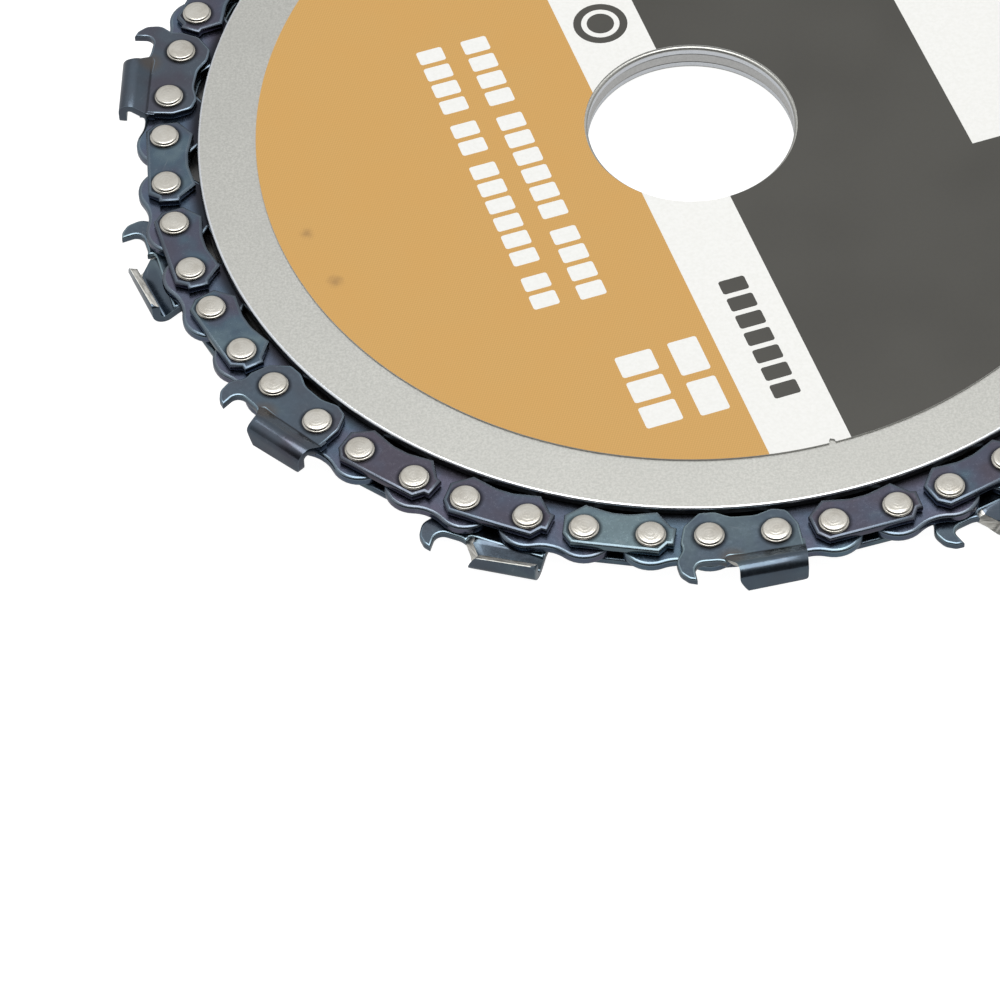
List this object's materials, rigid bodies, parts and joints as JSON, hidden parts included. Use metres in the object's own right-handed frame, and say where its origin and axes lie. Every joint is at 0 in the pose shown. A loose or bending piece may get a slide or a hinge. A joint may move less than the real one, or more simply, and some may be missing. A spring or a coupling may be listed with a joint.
{
  "type": "angle grinder carving disc",
  "caption": "Round carving disc for an angle grinder: saw chain with alternating cutters held in the slot between two steel plates, with a paper label.",
  "frame": {"origin": "on the bore's axis, halfway through the thickness of the chain and the slot", "axes": "+Z along the bore's axis towards the labelled side; the disc turns clockwise seen from +Z; +X and +Y lie in the disc's plane, and the label's white band runs 17 degrees from Y"},
  "size_m": [0.1234, 0.125, 0.005],
  "materials": {
    "plate_steel": "satin ground steel with a bright edge",
    "spacer_steel": "plain rolled steel",
    "label_paper": "matt printed paper, tan and charcoal halves with a white band",
    "strap_steel": "blued steel with blue and purple tints",
    "cutter_steel": "blued steel, ground at the cutting edges",
    "drive_link_steel": "blued steel with a bright bevelled edge"
  },
  "bodies": {
    "lower_plate": {"lower_plate": "plate_steel", "spacer_ring": "spacer_steel"},
    "upper_plate": {"upper_plate": "plate_steel", "label": "label_paper"},
    "chain": {"drive_link_01": "drive_link_steel", "drive_link_02": "drive_link_steel", "drive_link_03": "drive_link_steel", "drive_link_04": "drive_link_steel", "drive_link_05": "drive_link_steel", "drive_link_06": "drive_link_steel", "drive_link_07": "drive_link_steel", "drive_link_08": "drive_link_steel", "drive_link_09": "drive_link_steel", "drive_link_10": "drive_link_steel", "drive_link_11": "drive_link_steel", "drive_link_12": "drive_link_steel", "drive_link_13": "drive_link_steel", "drive_link_14": "drive_link_steel", "drive_link_15": "drive_link_steel", "drive_link_16": "drive_link_steel", "drive_link_17": "drive_link_steel", "drive_link_18": "drive_link_steel", "drive_link_19": "drive_link_steel", "drive_link_20": "drive_link_steel", "drive_link_21": "drive_link_steel", "drive_link_22": "drive_link_steel", "drive_link_23": "drive_link_steel", "drive_link_24": "drive_link_steel", "drive_link_25": "drive_link_steel", "drive_link_26": "drive_link_steel", "drive_link_27": "drive_link_steel", "drive_link_28": "drive_link_steel", "tie_link_01": "strap_steel", "tie_link_02": "strap_steel", "tie_link_03": "strap_steel", "tie_link_04": "strap_steel", "tie_link_05": "strap_steel", "tie_link_06": "strap_steel", "tie_link_07": "strap_steel", "tie_link_08": "strap_steel", "tie_link_09": "strap_steel", "tie_link_10": "strap_steel", "tie_link_11": "strap_steel", "tie_link_12": "strap_steel", "tie_link_13": "strap_steel", "tie_link_14": "strap_steel", "upper_cutter_link_01": "cutter_steel", "upper_cutter_link_02": "cutter_steel", "upper_cutter_link_03": "cutter_steel", "upper_cutter_link_04": "cutter_steel", "upper_cutter_link_05": "cutter_steel", "upper_cutter_link_06": "cutter_steel", "upper_cutter_link_07": "cutter_steel", "lower_cutter_link_01": "cutter_steel", "lower_cutter_link_02": "cutter_steel", "lower_cutter_link_03": "cutter_steel", "lower_cutter_link_04": "cutter_steel", "lower_cutter_link_05": "cutter_steel", "lower_cutter_link_06": "cutter_steel", "lower_cutter_link_07": "cutter_steel"}
  },
  "joints": [
    {"name": "chain_slip", "type": "hinge", "parent": "lower_plate", "child": "chain", "pos_m": [0, 0, 0], "axis": [0, 0, 1], "continuous": true},
    {"name": "upper_plate_lift", "type": "slide", "parent": "lower_plate", "child": "upper_plate", "axis": [0, 0, 1], "range_m": [0, 0.02]}
  ]
}
